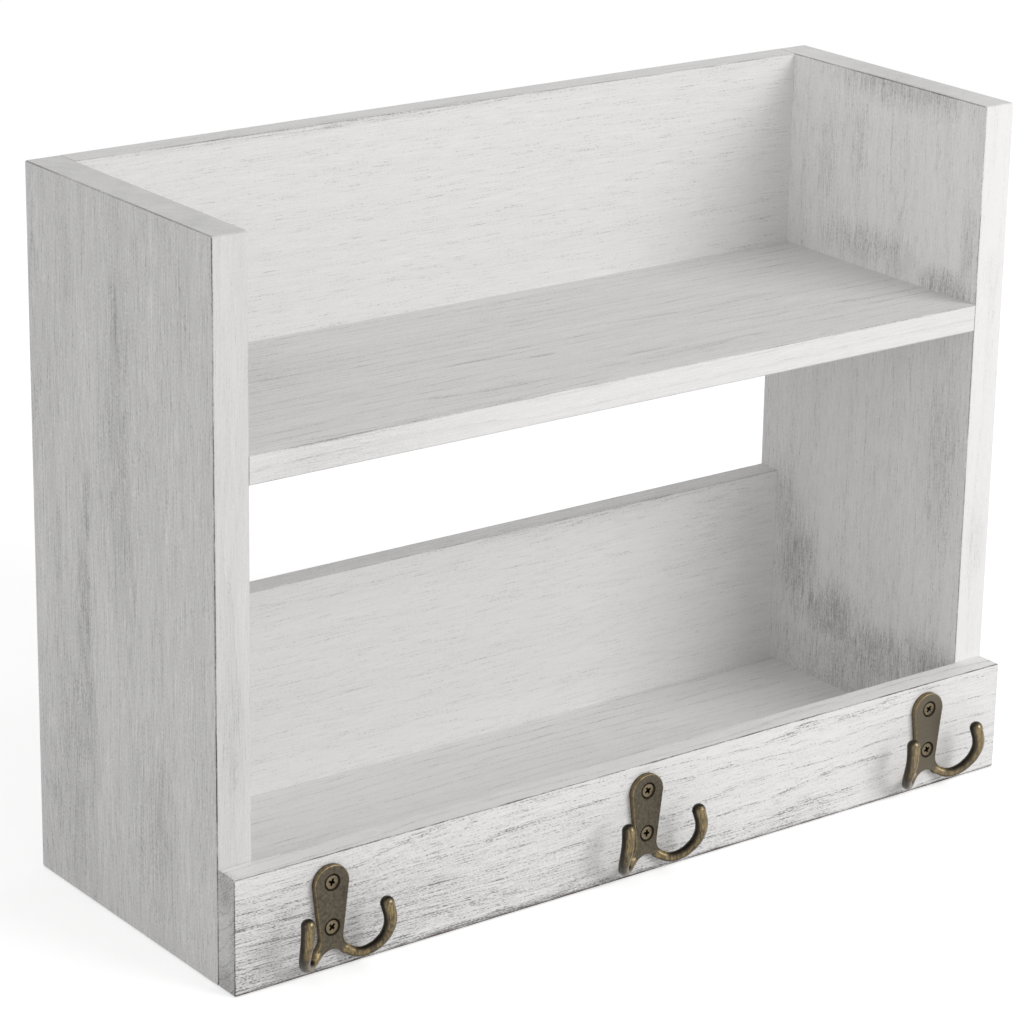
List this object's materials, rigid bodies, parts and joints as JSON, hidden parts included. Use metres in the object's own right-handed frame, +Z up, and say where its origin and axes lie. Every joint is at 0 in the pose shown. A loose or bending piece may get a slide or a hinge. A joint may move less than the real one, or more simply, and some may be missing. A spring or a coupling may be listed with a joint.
{
  "type": "wall mail organizer",
  "caption": "Two-tier wooden wall organizer for mail: plain board sides, shelves and backs, a rail across the front and cast double-prong hooks on the rail.",
  "frame": {"origin": "on the wall plane, at the middle of the width and level with the bottom", "axes": "+X to the right seen from the front, +Y into the wall, +Z up, so the open front faces -Y"},
  "size_m": [0.406, 0.1674, 0.305],
  "materials": {
    "whitewashed_wood": "thin white wash over grey-stained boards, brushed and worn at the edges, matt",
    "antique_bronze": "dark antique bronze plating rubbed back to brass on its edges, satin",
    "aged_brass": "aged brass, satin, with a dark recess",
    "beech": "plain turned dowel",
    "zinc_steel": "bright zinc plating"
  },
  "bodies": {
    "root": {"left_side": "whitewashed_wood", "right_side": "whitewashed_wood", "upper_back": "whitewashed_wood", "lower_back": "whitewashed_wood", "upper_shelf": "whitewashed_wood", "bottom_shelf": "whitewashed_wood", "front_rail": "whitewashed_wood", "hook_left": "antique_bronze", "hook_middle": "antique_bronze", "hook_right": "antique_bronze", "hook_screws": "aged_brass", "dowels": "beech", "left_hanger": "zinc_steel", "right_hanger": "zinc_steel", "hanger_screws": "zinc_steel"}
  },
  "joints": []
}
